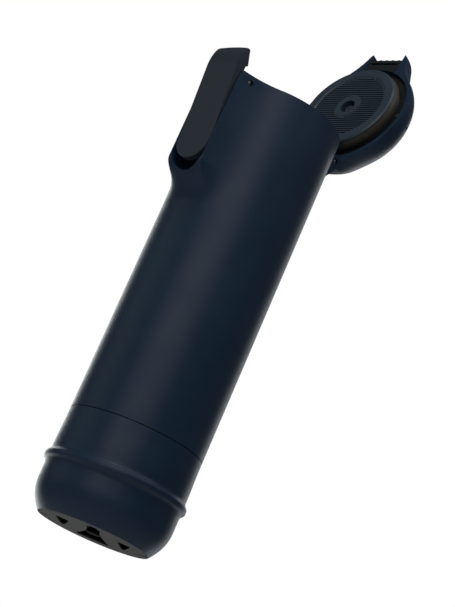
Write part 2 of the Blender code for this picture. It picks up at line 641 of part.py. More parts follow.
def make_lever(latch):
    """The rocker lever, half round at its lower end, on two bosses round the pin."""
    hinge = (0.0, LATCH_Y, LATCH_Z)
    lever = finish(prism(lever_outline(), "x", -LEVER_HALF - 2.0, LEVER_HALF + 2.0), "latch_lever",
                   "charcoal_lever", latch, hinge)
    plain_y = -NOSE_REACH + 1.0
    taper = 0.6
    levels = [(-30.0, LEVER_HALF), (plain_y, LEVER_HALF), (plain_y - 5.5, LEVER_HALF - taper)]
    outline = loft([[(x, y, z) for x, z in lever_front_outline(half)] for y, half in levels])
    combine(lever, finish(outline, "keep_lever_front", None, latch, hinge), "INTERSECT")
    root = HOOK_Y - HOOK_UNDERCUT - 0.5
    tongue = [(root, HOOK_Z), (TONGUE_Y, HOOK_Z), (TONGUE_Y, HOOK_Z + 0.9), (HOOK_Y + 0.4, HOOK_Z + 4.2),
              (root, HOOK_Z + 5.4)]
    tip = finish(prism(tongue, "x", -TONGUE_HALF, TONGUE_HALF), "add_lever_tongue", None, latch, hinge)
    combine(lever, tip, "UNION")
    deep = root - 0.9
    cheek = [(deep, LATCH_Z - BOSS_R - 2.0), (LATCH_Y, LATCH_Z - BOSS_R)]
    cheek += [(LATCH_Y + BOSS_R * math.sin(math.pi * k / 8), LATCH_Z - BOSS_R * math.cos(math.pi * k / 8))
              for k in range(1, 8)]
    cheek += [(LATCH_Y, LATCH_Z + BOSS_R), (deep, LATCH_Z + BOSS_R + 1.0)]
    wide = LEVER_HALF - 1.0
    bosses = join(prism(cheek, "x", SPRING_HALF, wide), prism(cheek, "x", -wide, -SPRING_HALF))
    combine(lever, finish(bosses, "add_lever_bosses", None, latch, hinge), "UNION")
    bore = finish(rod("x", PIN_R + GAP, (LATCH_Y, LATCH_Z), -40, 40), "cut_lever_bore", None, latch, hinge)
    combine(lever, bore, "DIFFERENCE")
    finish(tube(spring_path(), SPRING_WIRE_R), "latch_spring", "steel", latch, hinge)


def spring_path():
    """Wire of the torsion spring: leg behind the lever, coil round the pin, bent leg at the pocket floor."""
    half_wide = SPRING_HALF - GAP - SPRING_WIRE_R - 0.4
    steps = int(SPRING_TURNS * 14)
    coil = []
    for k in range(steps + 1):
        turn = math.pi - math.tau * SPRING_TURNS * k / steps
        coil.append((-half_wide + 2 * half_wide * k / steps, LATCH_Y + SPRING_COIL_R * math.cos(turn),
                     LATCH_Z + SPRING_COIL_R * math.sin(turn)))
    floor = POCKET_FLOOR_Y - GAP - SPRING_WIRE_R - 0.1
    leg = [(-half_wide, LATCH_Y - 4.7, LATCH_Z - 10.8), (-half_wide, LATCH_Y - 4.4, LATCH_Z - 6.0)]
    over = LATCH_Z + SPRING_COIL_R
    rest = [(half_wide, floor - 0.6, over), (half_wide, floor, over + 0.6), (half_wide, floor, over + 1.3)]
    return leg + coil + rest


def plate_screw_places():
    reach = LID_BORE_R - 2.5
    return [(reach, 0.0), (-reach, 0.0), (0.0, reach), (0.0, -reach)]


def make_lid(lid):
    hinge = (0.0, HINGE_Y, HINGE_Z)
    shell = finish(dome_solid(LID_Z), "lid_shell", "navy_shell", lid, hinge)
    combine(shell, finish(dome_hollow(), "cut_lid_hollow", None, lid, hinge), "DIFFERENCE")
    slot = finish(box((-SLOT_HALF, -80.0, LID_Z - 10.0), (SLOT_HALF, SLOT_BACK_Y, LID_Z + DOME_H + 5.0)),
                  "cut_lever_slot", None, lid, hinge)
    combine(shell, slot, "DIFFERENCE")
    room_r = KNUCKLE_R + KNUCKLE_ROOM
    room_out = LUG_OUT_X + KNUCKLE_ROOM
    room = finish(join(rod("x", room_r, (HINGE_Y, HINGE_Z), KNUCKLE_HALF, room_out, SMALL_ROUND),
                       rod("x", room_r, (HINGE_Y, HINGE_Z), -room_out, -KNUCKLE_HALF, SMALL_ROUND)),
                  "cut_lug_room", None, lid, hinge)
    combine(shell, room, "DIFFERENCE")
    turn = math.radians(205)
    arc = [(HINGE_Y + KNUCKLE_R * math.cos(math.pi + turn * k / 10),
            HINGE_Z + KNUCKLE_R * math.sin(math.pi + turn * k / 10)) for k in range(11)]
    arm = finish(prism(arc + [(HINGE_Y + 1.0, LID_Z + 4.0), (HINGE_Y - KNUCKLE_R, LID_Z + 4.0)], "x",
                       -KNUCKLE_HALF, KNUCKLE_HALF), "add_hinge_arm", None, lid, hinge)
    combine(shell, arm, "UNION")
    plate_high = LID_Z + 5.0
    posts = [rod("z", 6.0, (0, 0), plate_high + GAP, LID_Z + DOME_H - 1.0, SMALL_ROUND)]
    posts += [rod("z", 2.2, place, plate_high + GAP, plate_high + 8.0, 16) for place in plate_screw_places()]
    combine(shell, finish(join(*posts), "add_screw_posts", None, lid, hinge), "UNION")
    holes = [rod("z", 1.6, (0, 0), plate_high - 2.0, plate_high + 13.0, 12)]
    holes += [rod("z", 1.0, place, plate_high - 2.0, plate_high + 4.5, 10) for place in plate_screw_places()]
    holes += [rod("x", PIN_R + GAP, (HINGE_Y, HINGE_Z), -40, 40)]
    combine(shell, finish(join(*holes), "cut_lid_holes", None, lid, hinge), "DIFFERENCE")

    plate_low = plate_high - 2.2
    plate_r = LID_BORE_R - 0.8
    plate = finish(lathe([(1.9, plate_low), (plate_r, plate_low), (plate_r, plate_high), (1.9, plate_high)]),
                   "lid_inner_plate", "dark_plastic", lid, hinge)
    places = plate_screw_places()
    plate_holes = [rod("z", 1.1, place, plate_low - 3.0, plate_high + 3.0, 10) for place in places]
    combine(plate, finish(join(*plate_holes), "cut_plate_holes", None, lid, hinge), "DIFFERENCE")
    for number, place in enumerate(places, 1):
        screw(f"lid_plate_screw_{number}", place, 1.35, plate_low - GAP - 1.3, plate_low - GAP, 0.7,
              plate_high + 3.6, lid, hinge)

    make_plug(lid, hinge, plate_low)
    make_catch(lid, hinge)


def make_plug(lid, hinge, plate_low):
    face = RIM_Z - PLUG_DEPTH
    seat = GASKET_R - 4.4
    back = plate_low - GAP
    flange = back - 1.0
    recess_r, recess_z = 5.2, face + 4.8
    land_r = 8.6
    carrier = finish(lathe([
        (1.9, recess_z), (recess_r, recess_z), (recess_r, face + 0.4), (land_r, face + 0.4),
        (land_r, face + 0.6), (PLUG_RIB_ZONE_R, face + 0.6), (PLUG_RIB_ZONE_R + 0.7, face),
        (PLUG_LIP_R - 0.9, face), (PLUG_LIP_R, face + 0.9), (PLUG_LIP_R, face + 1.3), (seat, face + 1.3),
        (seat, flange), (GASKET_R - 1.2, flange), (GASKET_R - 1.2, back), (1.9, back)]),
        "plug_carrier", "dark_plastic", lid, hinge)
    grooves = []
    count = int(PLUG_RIB_ZONE_R / PLUG_RIB_PITCH)
    for k in range(-count, count + 1):
        y = (k + 0.5) * PLUG_RIB_PITCH
        edge = abs(y) + PLUG_GROOVE_HALF
        if edge > PLUG_RIB_ZONE_R:
            continue
        reach = math.sqrt(max(0.0, (PLUG_RIB_ZONE_R - 0.4) ** 2 - edge ** 2))
        inside = math.sqrt(max(0.0, (land_r + 0.8) ** 2 - max(0.0, abs(y) - PLUG_GROOVE_HALF) ** 2))
        spans = [(-reach, reach)] if inside == 0.0 else [(-reach, -inside), (inside, reach)]
        grooves += [box((low, y - PLUG_GROOVE_HALF, face - 2.0),
                        (high, y + PLUG_GROOVE_HALF, face + 0.6 + PLUG_RIB_DEPTH))
                    for low, high in spans if high - low > 1.0]
    combine(carrier, finish(join(*grooves), "cut_plug_grooves", None, lid, hinge), "DIFFERENCE")
    bore = seat + GAP
    finish(lathe([(bore, face + 1.6), (GASKET_R - 1.1, face + 1.6), (GASKET_R, face + 4.4),
                  (GASKET_R, face + 6.6), (GASKET_R - 0.8, face + 7.4), (GASKET_R - 0.8, flange - GAP),
                  (bore, flange - GAP)]), "plug_gasket", "seal_rubber", lid, hinge)
    screw("plug_screw", (0, 0), 2.9, recess_z - 2.1, recess_z - GAP, 1.3, LID_Z + 16.0, lid, hinge)


def make_catch(lid, hinge):
    """The strike that the lever hooks over: a toothed bar on two arms between the lid's ears."""
    proud = 0.85
    high = HOOK_Z - 0.5
    low = high - 3.3
    outer = TONGUE_Y - HOOK_BITE + proud
    inner = outer + 2.4
    end = SLOT_HALF - GAP
    bar = finish(box((-end, outer, low), (end, inner, high)), "catch_bar", "dark_plastic", lid, hinge)
    teeth = []
    for k in range(CATCH_TEETH):
        x = (k - (CATCH_TEETH - 1) / 2) * CATCH_PITCH
        teeth.append(box((x - 1.7, outer - proud, low + 0.4), (x + 1.7, outer + 0.5, high - 0.1)))
    arms = [box((min(s * end, s * (end - 2.0)), inner - 0.5, low + 0.2),
                (max(s * end, s * (end - 2.0)), SLOT_BACK_Y - GAP, high - 0.3)) for s in (-1, 1)]
    combine(bar, finish(join(*teeth, *arms), "add_catch_teeth", None, lid, hinge), "UNION")


def build():
    clear_scene()
    lid = empty("lid_hinge_axis", (0.0, HINGE_Y, HINGE_Z))
    latch = empty("latch_axis", (0.0, LATCH_Y, LATCH_Z))
    pump = empty("pump_axis", (0.0, 0.0, 0.0))
    make_body_shell()
    make_liner_and_mouth()
    make_bulkhead()
    make_pump_body()
    make_hinge_and_latch_pins()
    make_handle(pump)
    make_foot(pump)
    make_plunger(pump)
    make_lever(latch)
    make_lid(lid)
    lid.rotation_euler = (-math.radians(OPEN_ANGLE), 0.0, 0.0)


build()
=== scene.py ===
import json
import math

import bmesh
import bpy
from mathutils import Matrix, Vector


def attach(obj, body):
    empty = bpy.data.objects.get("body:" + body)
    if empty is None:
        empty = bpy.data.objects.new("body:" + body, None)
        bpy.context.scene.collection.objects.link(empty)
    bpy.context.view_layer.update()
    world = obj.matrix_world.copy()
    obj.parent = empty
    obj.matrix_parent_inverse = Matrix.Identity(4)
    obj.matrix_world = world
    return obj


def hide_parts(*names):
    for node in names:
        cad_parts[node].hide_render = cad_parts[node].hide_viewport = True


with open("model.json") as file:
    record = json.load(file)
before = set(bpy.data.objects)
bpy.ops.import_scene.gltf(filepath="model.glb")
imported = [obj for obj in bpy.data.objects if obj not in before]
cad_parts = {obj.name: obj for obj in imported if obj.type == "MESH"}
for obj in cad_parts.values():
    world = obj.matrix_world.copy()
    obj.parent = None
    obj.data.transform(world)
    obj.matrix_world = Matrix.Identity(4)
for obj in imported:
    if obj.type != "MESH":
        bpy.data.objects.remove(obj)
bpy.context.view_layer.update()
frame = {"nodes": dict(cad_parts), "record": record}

# Lengths in this script are millimetres, in the row frame with the lid shut: +Z up, latch
# towards -Y, hinge towards +Y. Each finished mesh is scaled to metres, and a piece of the lid
# is then swung open with the rest.
MM = 0.001

# Body and its nose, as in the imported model
GAP = 0.3
BODY_R = 42.0
SHELL_WALL = 2.4
SEAM_Z = 62.4
SEAM_GAP = 0.5
RIM_Z = 282.0
RIM_DECK = 2.6
LINER_R = 38.9
NOSE_REACH = 54.8
NOSE_HALF = 14.1
FLANK_R = 46.0
FLANK_FAR = BODY_R + FLANK_R
NOSE_START_Z = 197.5
NOSE_FULL_Z = 221.0
RIM_LEAN = 1.4
RIM_LEAN_H = 13.0

# Pump handle and foot
HANDLE_IN_R = 39.3
FOOT_R = 34.9
FOOT_ROUND_H = 19.0
BELLY_R = 42.4
RIB_Z = 32.1
RIB_PROUD = 2.3
RIB_HALF_H = 2.45  # half the bead's height, where it stands half as proud
RIB_FOOT_H = 5.5  # how far from its crest the bead has run out
PLATE_R = 33.6
PLATE_T = 4.0
FLOOR_T = 2.5
POCKET_DEPTH = 3.0
LEAF_X = 19.2
FOOT_TURN = math.radians(44.5)

# Hinge
HINGE_Y, HINGE_Z = 45.9, 278.6
PIN_R = 1.5
HINGE_PIN_HALF = 16.6
KNUCKLE_R = 4.4
KNUCKLE_ROOM = 0.5
KNUCKLE_HALF = 9.4
LUG_OUT_X = 17.0
OPEN_ANGLE = 102.0

# Lid
LID_Z = RIM_Z + 0.4
LID_WALL = 2.6
DOME_H = 30.0
LID_SKIRT = 1.2
LID_BORE_R = 39.1
EAR_H = 24.0  # height above the rim at which the ears have run back into the dome
REAR_GROWTH = 0.45
SLOT_BACK_Y = -43.2
PLUG_DEPTH = 6.45
PLUG_LIP_R = 33.5
GASKET_R = 34.2
PLUG_RIB_ZONE_R = 26.6
PLUG_RIB_PITCH = 1.7
PLUG_GROOVE_HALF = 0.4
CATCH_TEETH = 5
CATCH_PITCH = 5.1
TOOTH_HALF = 1.75
TOOTH_PROUD = 0.85

# Latch
LATCH_Y, LATCH_Z = -46.4, 277.3
LATCH_PIN_HALF = 16.3
LEVER_HALF = 12.9
LEVER_LOW_Z = 220.2
LEVER_TOP_Z = 297.5
LEVER_T = 3.8
LEVER_FLARE = 3.8
LEVER_LEAN = 4.0  # how far the head leans back above the brow
FLARE_LOW_Z = 240.0
BROW_Z = 283.0
HEAD_CORNER_R = 1.1
HEAD_ARCH = 1.2
HOOK_Y, HOOK_Z = -50.5, 286.4
HOOK_UNDERCUT = 1.5
TONGUE_Y = -48.4
TONGUE_HALF = 8.0
BOSS_R = 3.0
SPRING_HALF = 3.4
SLOT_HALF = 13.4
POCKET_LOW_Z = 213.3
POCKET_FLOOR_Y = -42.6

# Surface finish and camera
SHARP_ANGLE = 32.0
CAMERA_AZIMUTH = 46.2

OPENING = (Matrix.Translation((0, HINGE_Y * MM, HINGE_Z * MM))
           @ Matrix.Rotation(-math.radians(OPEN_ANGLE), 4, "X")
           @ Matrix.Translation((0, -HINGE_Y * MM, -HINGE_Z * MM)))


# Mesh tools

def lathe(profile, steps=128, centre=(0.0, 0.0)):
    """Spin a closed outline of (radius, height) points round a vertical line."""
    bm = bmesh.new()
    rings = []
    for r, z in profile:
        if r < 1e-6:
            rings.append([bm.verts.new((centre[0], centre[1], z))])
        else:
            rings.append([bm.verts.new((centre[0] + r * math.cos(math.tau * k / steps),
                                        centre[1] + r * math.sin(math.tau * k / steps), z))
                          for k in range(steps)])
    for one, two in zip(rings, rings[1:] + rings[:1]):
        if len(one) == 1 and len(two) == 1:
            continue
        for k in range(steps):
            n = (k + 1) % steps
            if len(one) == 1:
                bm.faces.new((one[0], two[k], two[n]))
            elif len(two) == 1:
                bm.faces.new((one[k], one[n], two[0]))
            else:
                bm.faces.new((one[k], one[n], two[n], two[k]))
    return bm


def loft(rings):
    """Skin a stack of rings of equal count; a one-point ring closes an end to a tip."""
    bm = bmesh.new()
    rows = [[bm.verts.new(p) for p in ring] for ring in rings]
    for low, high in zip(rows, rows[1:]):
        for k in range(len(low)):
            n = (k + 1) % len(low)
            if len(high) == 1:
                bm.faces.new((low[k], low[n], high[0]))
            else:
                bm.faces.new((low[k], low[n], high[n], high[k]))
    bm.faces.new(rows[0])
    if len(rows[-1]) > 1:
        bm.faces.new(rows[-1])
    return bm


def prism(outline, axis, low, high):
    """Extrude a flat outline along X, Y or Z; its points give the other two axes in order."""
    def place(p, t):
        return {"x": (t, p[0], p[1]), "y": (p[0], t, p[1]), "z": (p[0], p[1], t)}[axis]
    return loft([[place(p, low) for p in outline], [place(p, high) for p in outline]])


def box(low, high):
    corners = [(low[0], low[1]), (high[0], low[1]), (high[0], high[1]), (low[0], high[1])]
    return prism(corners, "z", low[2], high[2])


def rod(axis, radius, centre, low, high, steps=32):
    ring = [(centre[0] + radius * math.cos(math.tau * k / steps),
             centre[1] + radius * math.sin(math.tau * k / steps)) for k in range(steps)]
    return prism(ring, axis, low, high)


def join(*parts):
    """Put several closed meshes into one."""
    whole = bmesh.new()
    for bm in parts:
        mesh = bpy.data.meshes.new("part")
        bm.to_mesh(mesh)
        bm.free()
        whole.from_mesh(mesh)
        bpy.data.meshes.remove(mesh)
    return whole


def turned(bm, angle):
    bmesh.ops.rotate(bm, verts=bm.verts, matrix=Matrix.Rotation(angle, 3, "Z"))
    return bm


def raw_object(name, bm):
    bmesh.ops.recalc_face_normals(bm, faces=bm.faces)
    mesh = bpy.data.meshes.new(name)
    bm.to_mesh(mesh)
    bm.free()
    obj = bpy.data.objects.new(name, mesh)
    bpy.context.scene.collection.objects.link(obj)
    return obj


def baked(obj):
    """Swap an object's mesh for the one its modifiers make."""
    bpy.context.view_layer.update()
    made = bpy.data.meshes.new_from_object(obj.evaluated_get(bpy.context.evaluated_depsgraph_get()))
    old = obj.data
    obj.modifiers.clear()
    obj.data = made
    bpy.data.meshes.remove(old)


def carve(name, bm, *steps):
    """A solid after a row of Booleans, each an (operation, mesh) pair."""
    obj = raw_object(name, bm)
    for operation, other in steps:
        tool = raw_object("tool", other)
        mod = obj.modifiers.new("carve", "BOOLEAN")
        mod.operation = operation
        mod.solver = "EXACT"
        mod.object = tool
        baked(obj)
        gone = tool.data
        bpy.data.objects.remove(tool)
        bpy.data.meshes.remove(gone)
    return obj


def dress(obj, body, paint, nodes, edge=0.3, segments=2, opened=False):
    """Round a solid's edges, scale it to metres and hang it on its body in place of CAD nodes."""
    bm = bmesh.new()
    bm.from_mesh(obj.data)
    bmesh.ops.remove_doubles(bm, verts=bm.verts, dist=1e-3)
    bmesh.ops.dissolve_degenerate(bm, edges=bm.edges, dist=1e-3)
    bm.to_mesh(obj.data)
    bm.free()
    if edge:
        mod = obj.modifiers.new("edge", "BEVEL")
        mod.width = edge
        mod.segments = segments
        mod.limit_method = "ANGLE"
        mod.angle_limit = math.radians(SHARP_ANGLE)
        mod.use_clamp_overlap = True
        mod.harden_normals = False
        mod.miter_outer = "MITER_ARC"
        baked(obj)
    mesh = obj.data
    mesh.transform(Matrix.Scale(MM, 4))
    if opened:
        mesh.transform(OPENING)
    mesh.shade_smooth()
    mesh.set_sharp_from_angle(angle=math.radians(SHARP_ANGLE + 6.0))
    mod = obj.modifiers.new("normals", "WEIGHTED_NORMAL")
    mod.keep_sharp = True
    mod.weight = 60
    baked(obj)
    obj.data.materials.clear()
    obj.data.materials.append(paint)
    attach(obj, body)
    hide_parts(*nodes)


# Outlines

def smooth_step(t):
    t = min(1.0, max(0.0, t))
    return t * t * (3.0 - 2.0 * t)


def flank_end():
    """Angle from the nose at which the hollow flank runs into the round body."""
    corner = math.hypot(NOSE_HALF, NOSE_REACH)
    cosine = (FLANK_FAR ** 2 + corner ** 2 - FLANK_R ** 2) / (2.0 * FLANK_FAR * corner)
    return math.atan2(NOSE_HALF, NOSE_REACH) + math.acos(cosine)


FLANK_END = flank_end()


def nose_radius(angle, inset, reach):
    """Plan radius at an angle from the nose: flat front, hollow flank, then the round body."""
    angle = abs(angle)
    if angle >= FLANK_END:
        return BODY_R - inset
    along = FLANK_FAR * math.cos(FLANK_END - angle)
    on_flank = along - math.sqrt(max(0.0, along ** 2 - FLANK_FAR ** 2 + (FLANK_R + inset) ** 2))
    return min(on_flank, (reach - inset) / math.cos(angle))


def soft_nose_radius(angle, inset, reach, spread=math.radians(7.0)):
    """The same outline with its corners eased off, by averaging over nearby angles."""
    steps = 8
    total = sum(nose_radius(angle + spread * k / steps, inset, reach) for k in range(-steps, steps + 1))
    return total / (2 * steps + 1)


def plan_angles():
    """Angles from the nose: a vertex on each corner, close together on the flanks."""
    corner = math.atan2(NOSE_HALF, NOSE_REACH)
    front, flank, rest = 10, 24, 16
    half = [corner * k / front for k in range(front)]
    half += [corner + (FLANK_END - corner) * k / flank for k in range(flank)]
    half += [FLANK_END + (math.pi / 2 - FLANK_END) * k / rest for k in range(rest)]
    quarter = half + [math.pi / 2]
    right = quarter + [math.pi - a for a in reversed(quarter[:-1])]
    return right + [-a for a in reversed(right[1:-1])]


def plan_ring(z, inset, front, rear, scale=1.0, reach=NOSE_REACH, crisp=1.0):
    """One level of the outline; front and rear say how far each nose has grown, 1 being the full size."""
    ring = []
    for angle in plan_angles():
        ahead = abs(angle) < math.pi / 2
        toward = abs(angle) if ahead else math.pi - abs(angle)
        grown = front if ahead else rear
        plain = BODY_R - inset
        full = nose_radius(toward, inset, reach)
        if crisp < 1.0:
            full = soft_nose_radius(toward, inset, reach) * (1.0 - crisp) + full * crisp
        r = (plain + (full - plain) * grown) * scale
        ring.append((r * math.sin(angle), -r * math.cos(angle), z))
    return ring


def bottle_solid(inset, low, high):
    """The bottle's outside, or at an inset its hollow, with the nose growing out."""
    steps = 26
    levels = [NOSE_START_Z + (NOSE_FULL_Z - NOSE_START_Z) * k / steps for k in range(steps + 1)]
    lean_low = RIM_Z - RIM_LEAN_H
    levels += [245.0] + [lean_low + RIM_LEAN_H * k / 8 for k in range(7)]
    rings = []
    for z in [low] + levels + [high]:
        grown = smooth_step((z - NOSE_START_Z) / (NOSE_FULL_Z - NOSE_START_Z))
        lean = RIM_LEAN * (max(0.0, z - lean_low) / RIM_LEAN_H) ** 2
        rings.append(plan_ring(z, inset, grown, 0.0, 1.0, NOSE_REACH - lean, smooth_step((z - 205.0) / 15.0)))
    return loft(rings)


def dome_solid(steps=26):
    """The lid's outside: a short skirt under an elliptic dome, with upright ears that round off into it."""
    reach = NOSE_REACH - RIM_LEAN
    corner_r = math.hypot(NOSE_HALF, reach)
    rings = [plan_ring(LID_Z, 0.0, 1.0, REAR_GROWTH, 1.0, reach)]
    for k in range(steps):
        turn = math.pi / 2 * k / steps
        height = LID_SKIRT + (DOME_H - LID_SKIRT) * math.sin(turn)
        ear_r = corner_r * math.sqrt(1.0 - min(1.0, height / EAR_H) ** 4)
        ears = max(0.0, (ear_r / math.cos(turn) - BODY_R) / (corner_r - BODY_R))
        rear = REAR_GROWTH * math.cos(turn) ** 2
        crisp = 1.0 - 0.8 * smooth_step(k / steps * 2.0)
        rings.append(plan_ring(LID_Z + height, 0.0, ears, rear, math.cos(turn), reach, crisp))
    rings.append([(0.0, 0.0, LID_Z + DOME_H)])
    return loft(rings)


def dome_hollow(steps=26, sides=128):
    """The lid's round hollow, which leaves the ears and the hinge side solid."""
    profile = [(0.0, LID_Z - 6.0), (LID_BORE_R, LID_Z - 6.0)]
    for k in range(steps):
        turn = math.pi / 2 * k / steps
        height = (DOME_H - LID_SKIRT - LID_WALL) * math.sin(turn)
        profile.append((LID_BORE_R * math.cos(turn), LID_Z + LID_SKIRT + height))
    profile.append((0.0, LID_Z + DOME_H - LID_WALL))
    return turned(lathe(profile, sides), math.pi / sides)


def arch_outline(half, low, high, steps=40):
    """An upright slot in X and Z with a half-round lower end."""
    arc = [(-half * math.cos(math.pi * k / steps), low + half - half * math.sin(math.pi * k / steps))
           for k in range(steps + 1)]
    return arc + [(half, high), (-half, high)]


def lug_outline(steps=26):
    """A hinge lug from the side: round over the pin, sloping back to the bottle below."""
    first, last = math.radians(130), math.radians(-42)
    arc = [(HINGE_Y + KNUCKLE_R * math.cos(first + (last - first) * k / steps),
            HINGE_Z + KNUCKLE_R * math.sin(first + (last - first) * k / steps)) for k in range(steps + 1)]
    inner = BODY_R - 8.0
    return [(inner, RIM_Z - 0.5)] + arc + [(BODY_R - 0.6, HINGE_Z - 14.5), (inner, HINGE_Z - 14.5)]


def knuckle_room_outline(steps=32):
    """The room that a hinge knuckle turns in, from the side: half round below, open above."""
    radius = KNUCKLE_R + KNUCKLE_ROOM
    turns = [math.pi * k / steps for k in range(steps + 1)]
    arc = [(HINGE_Y - radius * math.cos(a), HINGE_Z - radius * math.sin(a)) for a in turns]
    return arc + [(HINGE_Y + radius, RIM_Z + 5.0), (HINGE_Y - radius, RIM_Z + 5.0)]


# Materials

def ramp(nodes, links, source, stops):
    """A colour ramp fed by a node's output; stops are (place, colour) pairs."""
    node = nodes.new("ShaderNodeValToRGB")
    while len(node.color_ramp.elements) < len(stops):
        node.color_ramp.elements.new(0.5)
    for element, (place, colour) in zip(node.color_ramp.elements, stops):
        element.position = place
        element.color = (*colour, 1.0)
    links.new(source, node.inputs["Fac"])
    return node.outputs["Color"]


def moulded(name, tones, rough, grain=0.00006, grain_scale=2600.0, sheen=0.0, sheen_tint=(1, 1, 1),
            sheen_rough=0.4, specular=0.5, metal=0.0, streak=None, scuff=0.0, deep=None):
    """Moulded or turned stuff: two tones in slow clouds, fine grain in the bump and in the colour, the gloss
    varying with the clouds.

    With deep, a pair of heights in metres, the tone and the shine fall off to near black between them:
    painted shade for recesses.
    """
    mat = bpy.data.materials.new(name)
    mat.use_nodes = True
    nodes, links = mat.node_tree.nodes, mat.node_tree.links
    shader = nodes["Principled BSDF"]
    coords = nodes.new("ShaderNodeTexCoord").outputs["Object"]

    cloud = nodes.new("ShaderNodeTexNoise")
    cloud.inputs["Scale"].default_value = 38.0
    cloud.inputs["Detail"].default_value = 5.0
    cloud.inputs["Roughness"].default_value = 0.6
    links.new(coords, cloud.inputs["Vector"])

    fine = nodes.new("ShaderNodeTexNoise")
    fine.inputs["Scale"].default_value = grain_scale
    fine.inputs["Detail"].default_value = 3.0
    fine.inputs["Roughness"].default_value = 0.65
    if streak is None:
        links.new(coords, fine.inputs["Vector"])
    else:
        stretch = nodes.new("ShaderNodeMapping")
        stretch.inputs["Scale"].default_value = streak
        links.new(coords, stretch.inputs["Vector"])
        links.new(stretch.outputs["Vector"], fine.inputs["Vector"])

    base = ramp(nodes, links, cloud.outputs["Fac"], [(0.32, tones[0]), (0.68, tones[1])])
    speck = nodes.new("ShaderNodeMix")
    speck.data_type = "RGBA"
    speck.blend_type = "MULTIPLY"
    speck.inputs["Factor"].default_value = 0.35
    links.new(base, speck.inputs["A"])
    links.new(ramp(nodes, links, fine.outputs["Fac"], [(0.3, (0.62, 0.62, 0.62)), (0.7, (1.0, 1.0, 1.0))]),
              speck.inputs["B"])
    if deep is None:
        links.new(speck.outputs["Result"], shader.inputs["Base Color"])
    else:
        # Painted shade: colour and shine fade to near black with height above the object's underside, so
        # recesses read as shaded.
        parts = nodes.new("ShaderNodeSeparateXYZ")
        links.new(coords, parts.inputs["Vector"])
        painted_shade_fall = nodes.new("ShaderNodeMapRange")
        painted_shade_fall.interpolation_type = "SMOOTHSTEP"
        painted_shade_fall.inputs["From Min"].default_value = deep[0]
        painted_shade_fall.inputs["From Max"].default_value = deep[1]
        painted_shade_fall.inputs["To Min"].default_value = 1.0
        painted_shade_fall.inputs["To Max"].default_value = 0.12
        links.new(parts.outputs["Z"], painted_shade_fall.inputs["Value"])
        painted_shade_dim = nodes.new("ShaderNodeMix")
        painted_shade_dim.data_type = "RGBA"
        painted_shade_dim.blend_type = "MULTIPLY"
        painted_shade_dim.inputs["Factor"].default_value = 1.0
        links.new(speck.outputs["Result"], painted_shade_dim.inputs["A"])
        links.new(painted_shade_fall.outputs["Result"], painted_shade_dim.inputs["B"])
        links.new(painted_shade_dim.outputs["Result"], shader.inputs["Base Color"])
        painted_shade_shine = nodes.new("ShaderNodeMath")
        painted_shade_shine.operation = "MULTIPLY"
        painted_shade_shine.inputs[1].default_value = specular
        links.new(painted_shade_fall.outputs["Result"], painted_shade_shine.inputs[0])
        links.new(painted_shade_shine.outputs["Value"], shader.inputs["Specular IOR Level"])

    low, high = rough
    gloss = nodes.new("ShaderNodeMapRange")
    gloss.inputs["From Min"].default_value = 0.3
    gloss.inputs["From Max"].default_value = 0.7
    gloss.inputs["To Min"].default_value = low
    gloss.inputs["To Max"].default_value = high
    links.new(cloud.outputs["Fac"], gloss.inputs["Value"])
    if scuff:
        rub = nodes.new("ShaderNodeTexNoise")
        rub.inputs["Scale"].default_value = 240.0
        rub.inputs["Detail"].default_value = 6.0
        rub.inputs["Roughness"].default_value = 0.75
        links.new(coords, rub.inputs["Vector"])
        worn = nodes.new("ShaderNodeMapRange")
        worn.inputs["From Min"].default_value = 0.56
        worn.inputs["From Max"].default_value = 0.72
        worn.inputs["To Min"].default_value = 0.0
        worn.inputs["To Max"].default_value = scuff
        links.new(rub.outputs["Fac"], worn.inputs["Value"])
        less = nodes.new("ShaderNodeMath")
        less.operation = "SUBTRACT"
        links.new(gloss.outputs["Result"], less.inputs[0])
        links.new(worn.outputs["Result"], less.inputs[1])
        links.new(less.outputs["Value"], shader.inputs["Roughness"])
    else:
        links.new(gloss.outputs["Result"], shader.inputs["Roughness"])

    bump = nodes.new("ShaderNodeBump")
    bump.inputs["Strength"].default_value = 1.0
    bump.inputs["Distance"].default_value = grain
    links.new(fine.outputs["Fac"], bump.inputs["Height"])
    links.new(bump.outputs["Normal"], shader.inputs["Normal"])

    shader.inputs["Metallic"].default_value = metal
    if deep is None:
        shader.inputs["Specular IOR Level"].default_value = specular
    shader.inputs["Sheen Weight"].default_value = sheen
    shader.inputs["Sheen Roughness"].default_value = sheen_rough
    shader.inputs["Sheen Tint"].default_value = (*sheen_tint, 1.0)
    return mat


SHELL = moulded("shell_soft_touch", [(0.0048, 0.0200, 0.0470), (0.0062, 0.0235, 0.0550)], (0.42, 0.50),
                grain=0.00003, sheen=0.02, sheen_tint=(0.8, 0.95, 1.0), scuff=0.05, specular=0.29)
LEVER = moulded("lever_charcoal", [(0.0140, 0.0225, 0.0370), (0.0175, 0.0270, 0.0430)], (0.46, 0.54),
                grain=0.00004, sheen=0.03, scuff=0.04, specular=0.34)
DARK = moulded("dark_moulding", [(0.0070, 0.0090, 0.0110), (0.0100, 0.0125, 0.0150)], (0.34, 0.46),
               grain=0.00004, scuff=0.08, specular=0.35)
PLUG = moulded("plug_moulding", [(0.0250, 0.0390, 0.0600), (0.0310, 0.0480, 0.0720)], (0.36, 0.46),
               grain=0.00003, scuff=0.06, specular=0.40)
# The rod cap: a dark part made near black and almost without shine, painted shade so it melts into the shaded
# pocket round it.
SHADED_CAP = moulded("foot_cap_painted_shade", [(0.0010, 0.0011, 0.0010), (0.0016, 0.0017, 0.0016)], (0.50, 0.60),
              grain=0.00003, scuff=0.04, specular=0.04)
